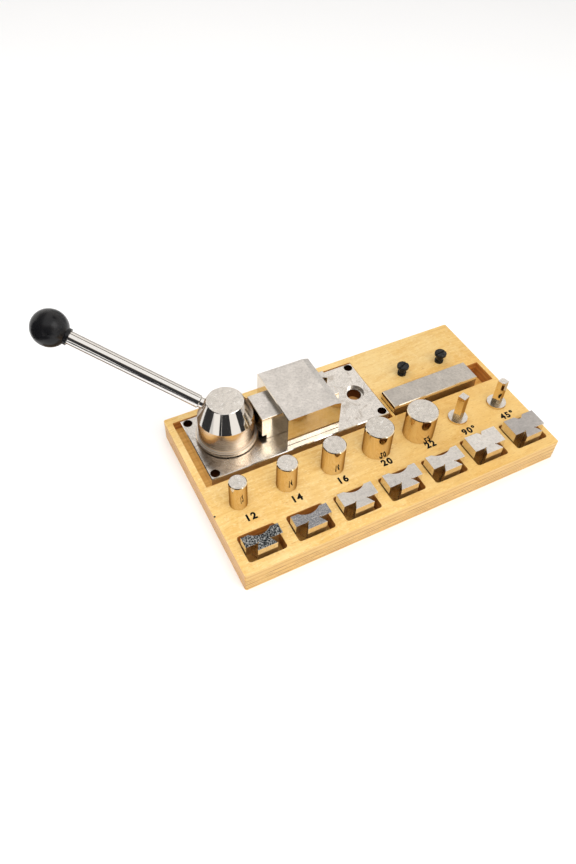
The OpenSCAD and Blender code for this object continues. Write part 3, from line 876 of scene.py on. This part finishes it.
def make_sky():
    """White walls, a beige ceiling in front and a bright one behind; plain white light."""
    sky = Sky()
    front = sky.mix(sky.fit(sky.towards(-0.60, -0.80), 0.44, 0.60, 0, 1), SKY_FRONT, SKY_FRONT_LEFT)
    front = sky.mix(sky.fit(sky.height, 0.77, 0.80, 0, 1), front, SKY_OVERHEAD)
    ceiling = sky.mix(sky.fit(sky.towards(-0.40, -0.92), -0.45, 0.25, 0, 1), SKY_BEHIND, front)
    ceiling = sky.mix(sky.fit(sky.noise(2.2, 2, 0.5), 0.4, 0.65, 0, 0.15), ceiling, SKY_CLOUD)
    ceiling = sky.mix(sky.fit(sky.towards(0.87, 0.50), 0.58, 0.74, 0, 0.36), ceiling, SKY_RIGHT)
    back_left = sky.fit(sky.towards(-0.80, 0.60), 0.15, 0.42, 0, 1)
    back_left = sky.times(back_left, sky.fit(sky.height, 0.50, 0.60, 0, 1))
    ceiling = sky.mix(back_left, ceiling, SKY_BACK_LEFT)
    room = sky.mix(sky.fit(sky.height, 0.22, 0.52, 0, 1), SKY_WALL, ceiling)
    glossy = sky.nodes.new("ShaderNodeLightPath").outputs["Is Glossy Ray"]
    sky.plug(sky.background.inputs["Color"], sky.mix(glossy, SKY_SOFT, room))


make_sky()


# ---------------------------------------------------------- reflection cards

# Cards that lie on the floor are lifted by this much.
CARD_LIFT = 1 * MM


def make_card(name, corners, look):
    """A card that only shows in reflections."""
    card = flat_sheet(name, corners, look)
    card.visible_camera = False
    card.visible_diffuse = False
    card.visible_shadow = False
    card.visible_transmission = False


def make_flag(name, azimuth, distance, width, low, high, look):
    """An upright card round the object; azimuth 0 is towards -Y and 90 towards +X."""
    a = math.radians(azimuth)
    centre = Vector((math.sin(a) * distance, -math.cos(a) * distance, 0))
    along = Vector((math.cos(a), math.sin(a), 0)) * width / 2
    make_wall(name, centre - along, centre + along, low, high, look)


def make_wall(name, start, end, low, high, look):
    """An upright card between two places on the floor."""
    corners = ((start, low), (end, low), (end, high), (start, high))
    make_card(name, [(p[0], p[1], height) for p, height in corners], look)


def lay_card(name, places, look):
    """A card that lies on the floor."""
    make_card(name, [(p[0], p[1], CARD_LIFT) for p in places], look)


def seen_in_lever(along_mm, tilt):
    """A place on the lever that the camera sees, and the direction that is mirrored there.

    tilt runs from -1 on the lever's lower outline, as the camera sees it, to 1 on its upper one.
    """
    rise, turn = math.radians(LEVER_RISE), math.radians(LEVER_AZIMUTH)
    lever = Vector((math.cos(turn) * math.cos(rise), math.sin(turn) * math.cos(rise), math.sin(rise)))
    root = Vector((hub_axis.x, hub_axis.y, plate_high.z + LEVER_CROSS_MM * MM))
    middle = root + lever * along_mm * MM
    view = (middle - CAMERA_PLACE).normalized()
    upwards = lever.cross(view).normalized()
    if upwards.z < 0:
        upwards.negate()
    nearest = (lever * view.dot(lever) - view).normalized()
    outwards = upwards * tilt + nearest * math.sqrt(1 - tilt * tilt)
    mirrored = view - outwards * 2 * view.dot(outwards)
    return middle + outwards * LEVER_RADIUS_MM * MM, mirrored


def far_off(along_mm, tilt, distance):
    """What the camera sees in the lever at a distance."""
    start, direction = seen_in_lever(along_mm, tilt)
    return start + direction * distance


def on_floor(along_mm, tilt):
    """The place on the floor that the camera sees in the lever."""
    start, direction = seen_in_lever(along_mm, tilt)
    return start - direction * (start.z / direction.z)


black = plain_look("card_black", CARD_BLACK, 0.8)
grey = plain_look("card_grey", CARD_GREY, 0.8)
brown = plain_look("card_brown", CARD_BROWN, 0.8)

# Dark bands in the polished metal.
make_flag("flag_front", -29, 0.755, 0.46, 0.0, 0.9, black)
make_flag("flag_high", -48, 0.76, 0.42, 0.17, 0.84, black)
make_flag("flag_left", -106.6, 0.304, 0.19, 0.0, 0.22, black)
make_flag("flag_right", 48, 0.36, 0.40, 0.0, 0.08, black)
make_wall("flag_middle", (-0.60, -0.57), (-0.68, -0.50), 0.0, 0.18, black)
lay_card("flag_low", [(-0.22, -0.10), (-0.32, 0.02), (-0.80, -0.42), (-0.56, -0.62)], black)
make_wall("card_back", (0.25, 0.20), (-0.05, 0.42), 0.0, 0.20, grey)
# A dark line along the upper part of the lever, and a brown one along its lower edge.
high_line = ((20, 0.52), (116, 0.52), (116, 0.62), (20, 0.62))
make_card("line_high", [far_off(along, tilt, 0.8) for along, tilt in high_line], black)
low_line = ((20, -0.86), (116, -0.86), (116, -0.99), (50, -0.99))
lay_card("line_low", [on_floor(along, tilt) for along, tilt in low_line], brown)

bpy.context.scene.view_settings.view_transform = "Standard"
